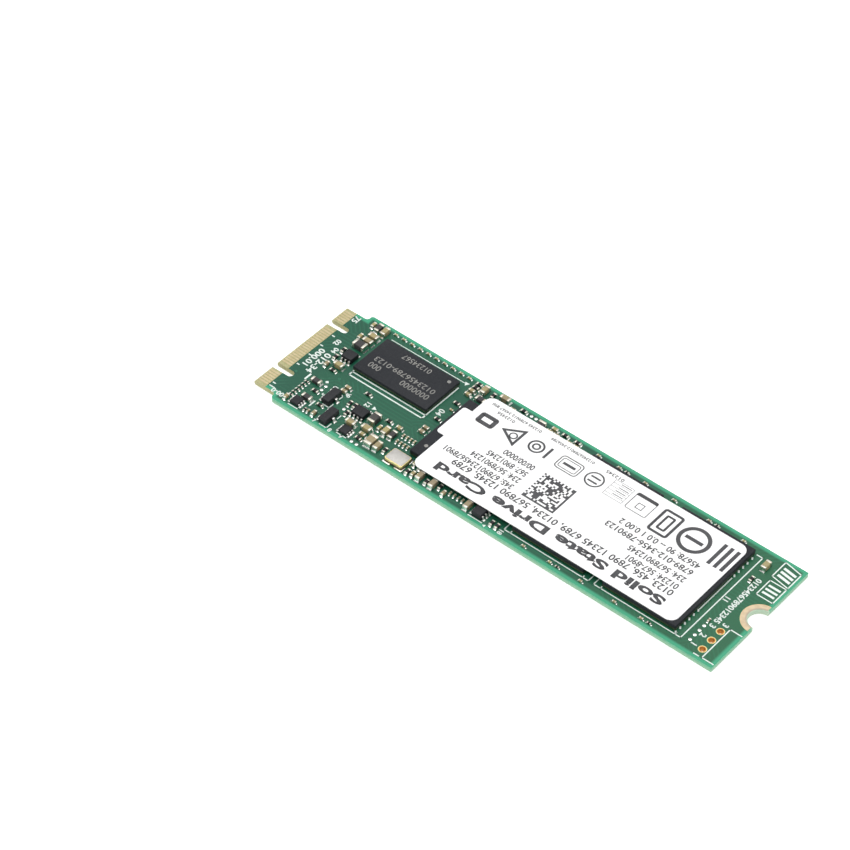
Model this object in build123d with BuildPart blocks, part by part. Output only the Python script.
# A solid state drive on a bare card: board, edge contacts, memory packages, small parts and label.
#
# Millimetres.  Z = 0 is the underside of the card and +Z points up through the packages.  X runs along
# the card from the edge connector (-X) to the screw notch (+X), and Y runs across it.  The origin is
# the middle of the card's outline, on its underside.

import os
from collections import namedtuple

from build123d import *

os.makedirs("parts", exist_ok=True)

# ---------------------------------------------------------------- driving dimensions

# the card
board_length = 80.0
board_width = 22.0
board_thickness = 0.80          # over the copper and the solder mask of both faces
skin = 0.03                     # copper or solder mask on one face

# the edge connector: a tongue with two key slots and two rows of contacts
tongue_width = 19.85
tongue_depth = 4.0
tongue_chamfer = 0.20
inner_corner_radius = 0.50
outer_corner_radius = 0.45
key_slot_width = 1.20
key_slot_depth = 3.50
wide_end_key_y = 6.125          # key nearer to the last contact, +Y side of the centre line
near_end_key_y = -5.625         # key nearer to the first contact
contact_pitch = 0.50
contact_width = 0.35
contact_setback = 0.30          # from the end of the tongue to the gold
contact_length = 1.70
first_top_contact_y = -9.25
first_bottom_contact_y = -9.0
top_contact_runs = ((0, 6), (10, 19), (33, 5))      # (places to skip, contacts in the run)
bottom_contact_runs = ((0, 5), (9, 20), (33, 4))

# the screw notch in the tail and its copper ring
notch_radius = 1.75
ring_pullback = 0.12            # copper kept away from the cut edge
ring_width = 0.88
ring_tail_pullback = 0.20
mask_clearance = 0.05           # bare laminate left round any copper

# the three plated holes of the service header
header_hole_count = 3
header_pitch = 2.0
header_bore = 0.80
header_plating = 0.06
header_pad = 1.20
header_from_tail = 2.80
header_from_lower_edge = 1.90

# the big packages: solder balls, a substrate and a moulded cap
ball_height = 0.22
ball_diameter = 0.42
substrate_height = 0.22
mould_height = 0.61
dram_mould_height = 0.46
ball_margin = 0.85              # package edge to the first ball centre

dram_length = 13.3
dram_width = 7.5
dram_from_edge = 9.22           # connector edge to the package
dram_from_centre_line = 0.62
dram_ball_pitch = 0.8

controller_side = 13.0
controller_from_edge = 25.9
controller_y = -0.4
controller_ball_pitch = 1.0

flash_length = 18.0             # across the card
flash_width = 12.0              # along the card
flash_gap = 3.2
flash_from_tail = 7.3
flash_ball_pitch = 1.0

# the label over the controller and both flash packages
label_thickness = 0.10
label_side_margin = 0.32
label_shift_y = -0.18
label_tail_margin = 0.55
label_controller_inset = 1.85
label_tab_inset = 0.45
label_tab_width = 6.15
label_tab_y = 1.28
label_corner = 1.3
label_tab_corner = 0.45

# the crystal oscillator
crystal_length = 3.2
crystal_width = 2.5
crystal_from_edge = 25.45
crystal_from_lower_edge = 2.15
crystal_pad_height = 0.07
crystal_pad_length = 1.30
crystal_pad_width = 1.05
crystal_pad_overhang = 0.10        # past the ceramic's ends
crystal_pad_side_overhang = 0.24   # past its long sides
crystal_base_height = 0.14
crystal_ring_height = 0.46
crystal_ring_inset = 0.05
crystal_lid_height = 0.07
crystal_lid_inset = 0.15

# small two-ended parts: a body between two metal end caps, soldered at both ends
EndCapped = namedtuple("EndCapped", "length width height cap")
capacitor_0201 = EndCapped(0.60, 0.30, 0.30, 0.15)
capacitor_0402 = EndCapped(1.00, 0.50, 0.50, 0.24)
capacitor_0603 = EndCapped(1.60, 0.80, 0.80, 0.34)
capacitor_0805 = EndCapped(2.00, 1.25, 0.90, 0.48)
resistor_0201 = EndCapped(0.60, 0.30, 0.24, 0.16)
resistor_0402 = EndCapped(1.00, 0.50, 0.35, 0.24)
ferrite_bead = EndCapped(1.60, 0.80, 0.60, 0.34)
power_inductor = EndCapped(2.00, 1.20, 0.95, 0.40)
cap_wall = 0.015                # how far an end cap stands proud of the body it wraps
solder_reach = 0.20             # solder fillet beyond the end cap
solder_climb = 0.6              # share of the end cap's height that the solder climbs
solder_hollow = (0.16, 0.46)    # where the two bends of its hollow face are, as shares of both legs

# leaded packages: body along X, body along Y, height, leads a side, lead pitch
Leaded = namedtuple("Leaded", "along_x along_y height leads pitch reach")
transistor = Leaded(1.30, 2.90, 1.00, 2, 1.90, 0.55)
load_switch = Leaded(1.80, 1.70, 0.90, 3, 0.65, 0.40)
level_shifter = Leaded(2.10, 1.75, 0.80, 4, 0.65, 0.42)
logic_gate = Leaded(1.40, 1.50, 0.55, 3, 0.50, 0.38)
regulator = Leaded(1.60, 2.00, 0.95, 3, 0.65, 0.42)
lead_thickness = 0.11
lead_foot = 0.22
lead_width = 0.26
transistor_lead_width = 0.42
body_standoff = 0.06

test_pad_diameter = 0.50
test_pad_height = 0.05

# ---------------------------------------------------------------- derived places

laminate_thickness = board_thickness - 2 * skin
board_top = board_thickness
package_top = board_top + ball_height + substrate_height + mould_height
UP = (Align.CENTER, Align.CENTER, Align.MIN)


def head(distance):
    """X of a place that is a distance behind the connector edge."""
    return -board_length / 2 + distance


def tail(distance):
    """X of a place that is a distance in front of the tail edge."""
    return board_length / 2 - distance


def upper(distance):
    """Y of a place that is a distance in from the +Y long edge."""
    return board_width / 2 - distance


def lower(distance):
    """Y of a place that is a distance in from the -Y long edge."""
    return -board_width / 2 + distance


def lying(x, y):
    """A small part on the board with its length along X."""
    return Location((x, y, board_top))


def standing(x, y):
    """A small part on the board with its length along Y."""
    return Location((x, y, board_top), (0, 0, 90))


dram_x = head(dram_from_edge + dram_length / 2)
dram_y = dram_from_centre_line + dram_width / 2
controller_x = head(controller_from_edge + controller_side / 2)
flash_2_x = tail(flash_from_tail + flash_width / 2)
flash_1_x = flash_2_x - flash_width - flash_gap
crystal_x = head(crystal_from_edge)
crystal_y = lower(crystal_from_lower_edge)
header_ys = [lower(header_from_lower_edge + i * header_pitch) for i in range(header_hole_count)]
ring_inner = notch_radius + ring_pullback
ring_outer = ring_inner + ring_width


def save(part, name):
    part.label = name
    export_step(part, f"parts/{name}.step")


# ---------------------------------------------------------------- the card

def card_outline():
    """The routed outline of the card, added to the sketch that is open."""
    Rectangle(board_length, board_width)
    shoulder = (board_width - tongue_width) / 2
    for side in (-1, 1):
        with Locations((head(tongue_depth / 2), side * (board_width - shoulder) / 2)):
            Rectangle(tongue_depth, shoulder, mode=Mode.SUBTRACT)
    for key_y in (wide_end_key_y, near_end_key_y):
        with Locations((head(0), key_y)):
            SlotOverall(2 * key_slot_depth, key_slot_width, mode=Mode.SUBTRACT)
    with Locations((tail(0), 0)):
        Circle(notch_radius, mode=Mode.SUBTRACT)


def shoulder_corners(sketch, y):
    """The two corners where the tongue's shoulders are, at this distance from the centre line."""
    shoulder_x = head(tongue_depth)
    return [v for v in sketch.vertices() if abs(v.X - shoulder_x) < 1e-4 and abs(abs(v.Y) - y) < 1e-4]


with BuildPart() as laminate_board:
    with BuildSketch(Plane.XY.offset(skin)) as card:
        card_outline()
        fillet(shoulder_corners(card, tongue_width / 2), inner_corner_radius)
        fillet(shoulder_corners(card, board_width / 2), outer_corner_radius)
        with Locations(*[(tail(header_from_tail), y) for y in header_ys]):
            Circle(header_bore / 2 + header_plating, mode=Mode.SUBTRACT)
    extrude(amount=laminate_thickness)
    tongue_end = laminate_board.faces().filter_by(Axis.X).group_by(Axis.X)[0]
    tongue_end_lines = [e for e in tongue_end.edges() if abs((e @ 0).Z - (e @ 1).Z) < 1e-6]
    chamfer(tongue_end_lines, tongue_chamfer)
save(laminate_board.part, "laminate_board")


def solder_mask(z):
    """The green skin on one face: everywhere but the tongue's gold, the ring and the header pads."""
    with BuildPart() as mask:
        with BuildSketch(Plane.XY.offset(z)) as skin_outline:
            card_outline()
            fillet(shoulder_corners(skin_outline, tongue_width / 2), inner_corner_radius)
            fillet(shoulder_corners(skin_outline, board_width / 2), outer_corner_radius)
            bare_depth = contact_setback + contact_length + mask_clearance
            with Locations((head(bare_depth / 2), 0)):
                Rectangle(bare_depth, board_width, mode=Mode.SUBTRACT)
            with Locations((tail(0), 0)):
                Circle(ring_outer + mask_clearance, mode=Mode.SUBTRACT)
            with Locations(*[(tail(header_from_tail), y) for y in header_ys]):
                Circle(header_pad / 2 + mask_clearance, mode=Mode.SUBTRACT)
        extrude(amount=skin)
    return mask.part


save(solder_mask(board_thickness - skin), "solder_mask_top")
save(solder_mask(0), "solder_mask_bottom")


def edge_contacts(z, first_y, runs):
    """One face's row of gold contacts, in runs that leave the key slots free."""
    places = []
    for skipped, count in runs:
        places += [first_y + (skipped + i) * contact_pitch for i in range(count)]
    with BuildPart() as contacts:
        with BuildSketch(Plane.XY.offset(z)):
            with Locations(*[(head(contact_setback + contact_length / 2), y) for y in places]):
                Rectangle(contact_length, contact_width)
        extrude(amount=skin)
    return contacts.part


save(edge_contacts(board_thickness - skin, first_top_contact_y, top_contact_runs), "edge_contacts_top")
save(edge_contacts(0, first_bottom_contact_y, bottom_contact_runs), "edge_contacts_bottom")


def screw_ground_ring(z):
    """The half ring of bare copper that a screw head clamps, round the notch."""
    with BuildPart() as ring:
        with BuildSketch(Plane.XY.offset(z)):
            with Locations((tail(0), 0)):
                Circle(ring_outer)
                Circle(ring_inner, mode=Mode.SUBTRACT)
            with Locations((tail(ring_tail_pullback), 0)):
                Rectangle(2 * ring_outer, 2 * ring_outer, align=(Align.MIN, Align.CENTER),
                          mode=Mode.SUBTRACT)
        extrude(amount=skin)
    return ring.part


save(screw_ground_ring(board_thickness - skin), "screw_ground_ring_top")
save(screw_ground_ring(0), "screw_ground_ring_bottom")

with BuildPart() as header_hole_barrels:
    header_places = [(tail(header_from_tail), y) for y in header_ys]
    with BuildSketch():
        with Locations(*header_places):
            Circle(header_pad / 2)
    extrude(amount=skin)
    with BuildSketch(Plane.XY.offset(skin)):
        with Locations(*header_places):
            Circle(header_bore / 2 + header_plating)
    extrude(amount=laminate_thickness)
    with BuildSketch(Plane.XY.offset(board_thickness - skin)):
        with Locations(*header_places):
            Circle(header_pad / 2)
    extrude(amount=skin)
    with BuildSketch():
        with Locations(*header_places):
            Circle(header_bore / 2)
    extrude(amount=board_thickness, mode=Mode.SUBTRACT)
save(header_hole_barrels.part, "header_hole_barrels")


# ---------------------------------------------------------------- the big packages

def balls_across(side, pitch):
    """How many balls of this pitch go in a row under a package side."""
    return int((side - 2 * ball_margin) / pitch + 1e-6) + 1


def ball_package(name, x, y, along_x, along_y, pitch, cap_height=mould_height):
    """One package: its balls, its substrate and its moulded cap, each a node."""
    with BuildPart() as balls:
        with Locations((x, y, board_top)):
            with GridLocations(pitch, pitch, balls_across(along_x, pitch), balls_across(along_y, pitch)):
                Cylinder(ball_diameter / 2, ball_height, align=UP)
    save(balls.part, f"{name}_solder_balls")
    substrate_z = board_top + ball_height
    with BuildPart() as substrate:
        with Locations((x, y, substrate_z)):
            Box(along_x, along_y, substrate_height, align=UP)
    save(substrate.part, f"{name}_substrate")
    with BuildPart() as cap:
        with Locations((x, y, substrate_z + substrate_height)):
            Box(along_x, along_y, cap_height, align=UP)
    save(cap.part, f"{name}_mould_cap")


ball_package("dram", dram_x, dram_y, dram_length, dram_width, dram_ball_pitch, dram_mould_height)
ball_package("controller", controller_x, controller_y, controller_side, controller_side,
             controller_ball_pitch)
ball_package("flash_1", flash_1_x, 0, flash_width, flash_length, flash_ball_pitch)
ball_package("flash_2", flash_2_x, 0, flash_width, flash_length, flash_ball_pitch)

# ---------------------------------------------------------------- the label

label_left = head(controller_from_edge + label_controller_inset)
label_right = tail(flash_from_tail + label_tail_margin)
label_width = flash_length - 2 * label_side_margin
tab_left = head(controller_from_edge + label_tab_inset)
tab_overlap = 2 * label_tab_corner

with BuildPart() as product_label:
    with BuildSketch(Plane.XY.offset(package_top)):
        with Locations(((label_left + label_right) / 2, label_shift_y)):
            RectangleRounded(label_right - label_left, label_width, label_corner)
        with Locations(((tab_left + label_left + tab_overlap) / 2, label_tab_y)):
            RectangleRounded(label_left + tab_overlap - tab_left, label_tab_width, label_tab_corner)
    extrude(amount=label_thickness)
save(product_label.part, "product_label")

# ---------------------------------------------------------------- the crystal oscillator

crystal_seat = board_top + crystal_pad_height
pad_step_x = crystal_length + 2 * crystal_pad_overhang - crystal_pad_length
pad_step_y = crystal_width + 2 * crystal_pad_side_overhang - crystal_pad_width

with BuildPart() as crystal_pads:
    with Locations((crystal_x, crystal_y, board_top)):
        with GridLocations(pad_step_x, pad_step_y, 2, 2):
            Box(crystal_pad_length, crystal_pad_width, crystal_pad_height, align=UP)
save(crystal_pads.part, "crystal_pads")

with BuildPart() as crystal_base:
    with BuildSketch(Plane.XY.offset(crystal_seat)):
        with Locations((crystal_x, crystal_y)):
            RectangleRounded(crystal_length, crystal_width, 0.15)
    extrude(amount=crystal_base_height)
save(crystal_base.part, "crystal_base")

crystal_rim_z = crystal_seat + crystal_base_height
ring_length = crystal_length - 2 * crystal_ring_inset
ring_across = crystal_width - 2 * crystal_ring_inset
lid_length = crystal_length - 2 * crystal_lid_inset
lid_across = crystal_width - 2 * crystal_lid_inset

with BuildPart() as crystal_seal_ring:
    with BuildSketch(Plane.XY.offset(crystal_rim_z)):
        with Locations((crystal_x, crystal_y)):
            RectangleRounded(ring_length, ring_across, 0.30)
            RectangleRounded(lid_length - 0.5, lid_across - 0.5, 0.20, mode=Mode.SUBTRACT)
    extrude(amount=crystal_ring_height)
save(crystal_seal_ring.part, "crystal_seal_ring")

with BuildPart() as crystal_lid:
    with BuildSketch(Plane.XY.offset(crystal_rim_z + crystal_ring_height)):
        with Locations((crystal_x, crystal_y)):
            RectangleRounded(lid_length, lid_across, 0.25)
    extrude(amount=crystal_lid_height)
save(crystal_lid.part, "crystal_lid")


# ---------------------------------------------------------------- small two-ended parts

def end_cap_places(kind):
    """The middles of the two end caps of one part, seen from the part's own middle."""
    reach = (kind.length - kind.cap) / 2
    return Location((reach, 0, 0)), Location((-reach, 0, 0), (0, 0, 180))


def bodies(kind, places):
    """The ceramic or ferrite bodies of every part of one kind."""
    with BuildPart() as group:
        with Locations(*places):
            with Locations((0, 0, cap_wall)):
                Box(kind.length - 2 * kind.cap, kind.width - 2 * cap_wall,
                    kind.height - 2 * cap_wall, align=UP)
    return group.part


def end_caps(kind, places):
    """The metal end caps of every part of one kind."""
    with BuildPart() as group:
        with Locations(*places):
            with Locations(*end_cap_places(kind)):
                Box(kind.cap, kind.width, kind.height, align=UP)
    return group.part


def solder_fillet(kind):
    """One hollow solder fillet, against the end cap at X = cap / 2 and rising in Z."""
    start = kind.cap / 2
    climb = kind.height * solder_climb
    near, far = solder_hollow
    with BuildPart() as fillet_of_solder:
        with BuildSketch(Plane.XZ):
            with BuildLine():
                Polyline((start, climb), (start, 0), (start + solder_reach, 0),
                         (start + far * solder_reach, near * climb),
                         (start + near * solder_reach, far * climb), close=True)
            make_face()
        extrude(amount=kind.width / 2, both=True)
    return fillet_of_solder.part


def solder_fillets(kind, places):
    """The solder at both ends of every part of one kind."""
    one = solder_fillet(kind)
    with BuildPart() as group:
        with Locations(*places):
            with Locations(*end_cap_places(kind)):
                add(one)
    return group.part


# a flash package has these small parts beside it, placed from its own middle
flash_centres = (flash_1_x, flash_2_x)
edge_strip = 1.10               # middle of the small parts to the long edge
lower_edge_strip = 0.85

capacitors_0201 = [lying(head(9.2 + 1.5 * i), upper(0.90)) for i in range(10)]
capacitors_0201 += [standing(head(23.0 + 0.65 * i), lower(y)) for y in (6.25, 4.85) for i in range(4)]
capacitors_0201 += [standing(head(34.85 + 0.72 * i), lower(2.0)) for i in range(4)]
capacitors_0201 += [lying(head(24.8), 3.5), standing(head(9.85), lower(1.3))]
capacitors_0201 += [lying(x - 2.2, upper(edge_strip)) for x in flash_centres]
capacitors_0201 += [lying(x - 3.1, lower(lower_edge_strip)) for x in flash_centres]
capacitors_0201 += [lying(x + 1.35, lower(lower_edge_strip)) for x in flash_centres]
capacitors_0201 += [
    lying(flash_1_x - 5.75, upper(edge_strip)),
    lying(flash_1_x + 2.25, upper(edge_strip)),
    lying(flash_1_x + 7.15, upper(edge_strip)),
    lying(flash_2_x + 3.5, upper(edge_strip)),
    lying(flash_1_x + 6.5, lower(lower_edge_strip)),
    standing(tail(5.05), -4.6),
]

resistors_0201 = [lying(head(5.85), lower(5.6 - 0.67 * i)) for i in range(6)]
resistors_0201 += [standing(head(9.25), lower(1.25))]
resistors_0201 += [lying(x - 0.9, upper(edge_strip)) for x in flash_centres]
resistors_0201 += [lying(x + 2.6, lower(lower_edge_strip)) for x in flash_centres]

capacitors_0402 = [
    standing(head(5.55), upper(1.55)),
    standing(head(5.6), upper(4.55)),
    standing(head(5.65), upper(11.95)),
    lying(head(11.15), lower(8.33)),
    lying(head(11.15), lower(7.43)),
    standing(head(10.8), lower(1.4)),
    standing(head(5.7), lower(1.4)),
    lying(head(18.6), lower(2.65)),
    standing(head(19.6), lower(5.15)),
    lying(head(21.7), lower(6.95)),
    standing(head(27.75), lower(3.1)),
    standing(head(28.7), lower(3.1)),
    standing(head(28.75), lower(1.4)),
    standing(head(34.2), lower(1.3)),
    lying(head(24.6), upper(2.75)),
    lying(head(24.6), upper(3.65)),
    lying(head(24.45), -1.65),
    lying(head(24.45), -2.55),
    lying(head(38.15), upper(1.15)),
    lying(head(31.3), upper(2.0)),
    lying(head(37.8), upper(2.0)),
    lying(head(39.0), upper(2.0)),
    lying(head(41.2), upper(2.0)),
    lying(head(42.4), upper(2.0)),
]

resistors_0402 = [
    standing(head(5.6), upper(8.23)),
    standing(head(5.65), upper(10.0)),
    lying(head(7.15), upper(12.33)),
    lying(head(8.0), lower(4.9)),
    lying(head(10.35), lower(3.2)),
    standing(head(13.3), lower(6.2)),
    standing(head(14.15), lower(6.25)),
    standing(head(14.2), lower(4.45)),
    lying(head(14.1), lower(9.25)),
    lying(head(18.6), lower(1.77)),
    lying(head(19.75), lower(7.07)),
    standing(head(22.9), lower(2.4)),
    standing(head(27.85), lower(1.3)),
    standing(head(31.05), lower(1.5)),
    standing(head(33.1), lower(2.0)),
    standing(head(42.6), lower(1.35)),
    standing(head(43.5), lower(1.35)),
    lying(head(24.6), upper(1.03)),
    lying(head(24.6), upper(1.85)),
    standing(head(27.45), upper(1.5)),
    lying(head(32.6), upper(1.1)),
    lying(head(39.95), upper(1.1)),
    lying(head(42.1), upper(1.1)),
    lying(head(24.55), 4.97),
    lying(head(24.5), 0.8),
    standing(tail(5.05), 5.0),
]

capacitors_0603 = [
    standing(head(7.83), upper(1.74)),
    lying(head(7.23), upper(3.59)),
    lying(head(7.23), upper(4.84)),
    lying(head(7.28), upper(11.2)),
    lying(head(15.98), lower(3.21)),
    lying(head(18.43), lower(3.76)),
    standing(head(20.76), lower(5.11)),
    standing(head(21.78), lower(2.16)),
    standing(head(26.03), upper(1.64)),
    lying(head(29.28), upper(1.1)),
    standing(head(29.85), lower(1.6)),
    standing(head(32.1), lower(1.6)),
    standing(head(38.2), lower(1.65)),
    standing(tail(4.85), upper(3.0)),
]

capacitors_0805 = [standing(head(20.46), lower(2.3))]

ferrite_beads = [
    standing(head(6.56), upper(1.6)),
    lying(head(6.93), lower(6.4)),
    standing(head(21.86), lower(5.2)),
    lying(head(26.7), upper(3.43)),
    lying(head(8.05), lower(3.1)),
]

power_inductors = [
    lying(head(6.95), upper(6.23)),
    standing(head(18.07), lower(5.85)),
    standing(head(36.27), upper(2.4)),
]

families = (
    ("capacitor_0201", capacitor_0201, capacitors_0201),
    ("capacitor_0402", capacitor_0402, capacitors_0402),
    ("capacitor_0603", capacitor_0603, capacitors_0603),
    ("capacitor_0805", capacitor_0805, capacitors_0805),
    ("resistor_0201", resistor_0201, resistors_0201),
    ("resistor_0402", resistor_0402, resistors_0402),
    ("ferrite_bead", ferrite_bead, ferrite_beads),
    ("power_inductor", power_inductor, power_inductors),
)
for family, kind, places in families:
    save(bodies(kind, places), f"{family}_bodies")
    save(end_caps(kind, places), f"{family}_end_caps")
    save(solder_fillets(kind, places), f"{family}_solder")


# ---------------------------------------------------------------- leaded packages

def gull_lead(kind, width):
    """One bent lead that leaves the body at X = 0, at half height, and stands on the board."""
    exit_z = kind.height * 0.5
    knee = kind.reach - lead_foot
    with BuildPart() as lead:
        with BuildSketch(Plane.XZ):
            with BuildLine():
                Polyline((0, exit_z), (0, exit_z + lead_thickness), (knee, exit_z + lead_thickness),
                         (knee + lead_thickness, lead_thickness), (kind.reach, lead_thickness),
                         (kind.reach, 0), (knee, 0), (knee - lead_thickness / 2, exit_z), close=True)
            make_face()
        extrude(amount=width / 2, both=True)
    return lead.part


def lead_places(kind, sides):
    """Where the leads start, one Location for each, for leads that point along +X and -X."""
    half = kind.along_x / 2
    span = (kind.leads - 1) * kind.pitch
    rows = [i * kind.pitch - span / 2 for i in range(kind.leads)]
    places = []
    if "-X" in sides:
        places += [Location((-half, y, 0), (0, 0, 180)) for y in rows]
    if "+X" in sides:
        places += [Location((half, y, 0)) for y in rows]
    return places


def leaded_bodies(kind, places):
    """Every moulded body of one kind, its edges eased."""
    with BuildPart() as group:
        with Locations(*places):
            with Locations((0, 0, body_standoff)):
                Box(kind.along_x, kind.along_y, kind.height - body_standoff, align=UP)
        chamfer(group.faces().group_by(Axis.Z)[-1].edges(), 0.05)
    return group.part


def leads(kind, places, own_places, width):
    """Every lead of one kind of package."""
    one = gull_lead(kind, width)
    with BuildPart() as group:
        with Locations(*places):
            with Locations(*own_places):
                add(one)
    return group.part


def turned(kind):
    """The same package measured after a quarter turn, so that its leads point along X."""
    return kind._replace(along_x=kind.along_y, along_y=kind.along_x)


transistors = [lying(head(10.7), lower(5.3)), lying(head(12.9), lower(2.15))]
transistor_leads = lead_places(transistor, ("-X",)) + [Location((transistor.along_x / 2, 0, 0))]
save(leaded_bodies(transistor, transistors), "transistor_bodies")
save(leads(transistor, transistors, transistor_leads, transistor_lead_width), "transistor_leads")

both_ways = ("-X", "+X")
leaded_packages = (
    ("load_switch", turned(load_switch), [standing(head(7.32), upper(8.85))]),
    ("level_shifter", turned(level_shifter), [standing(head(15.75), lower(5.6))]),
    ("logic_gate", logic_gate, [lying(head(7.45), lower(1.7)), lying(head(16.3), lower(1.75))]),
    ("regulator", regulator, [lying(head(40.25), lower(1.8))]),
)
for name, kind, places in leaded_packages:
    save(leaded_bodies(kind, places), f"{name}_body")
    save(leads(kind, places, lead_places(kind, both_ways), lead_width), f"{name}_leads")

# ---------------------------------------------------------------- test pads

test_pad_places = [
    (head(8.45), lower(6.65)),
    (head(8.45), lower(5.75)),
    (head(13.3), lower(4.9)),
    (head(18.2), lower(0.8)),
    (head(19.1), lower(0.8)),
    (head(33.9), upper(1.03)),
    (head(34.7), upper(1.03)),
]
test_pad_places += [(tail(5.0), -5.7 - 1.04 * i) for i in range(4)]

with BuildPart() as test_pads:
    with BuildSketch(Plane.XY.offset(board_top)):
        with Locations(*test_pad_places):
            Circle(test_pad_diameter / 2)
    extrude(amount=test_pad_height)
save(test_pads.part, "test_pads")
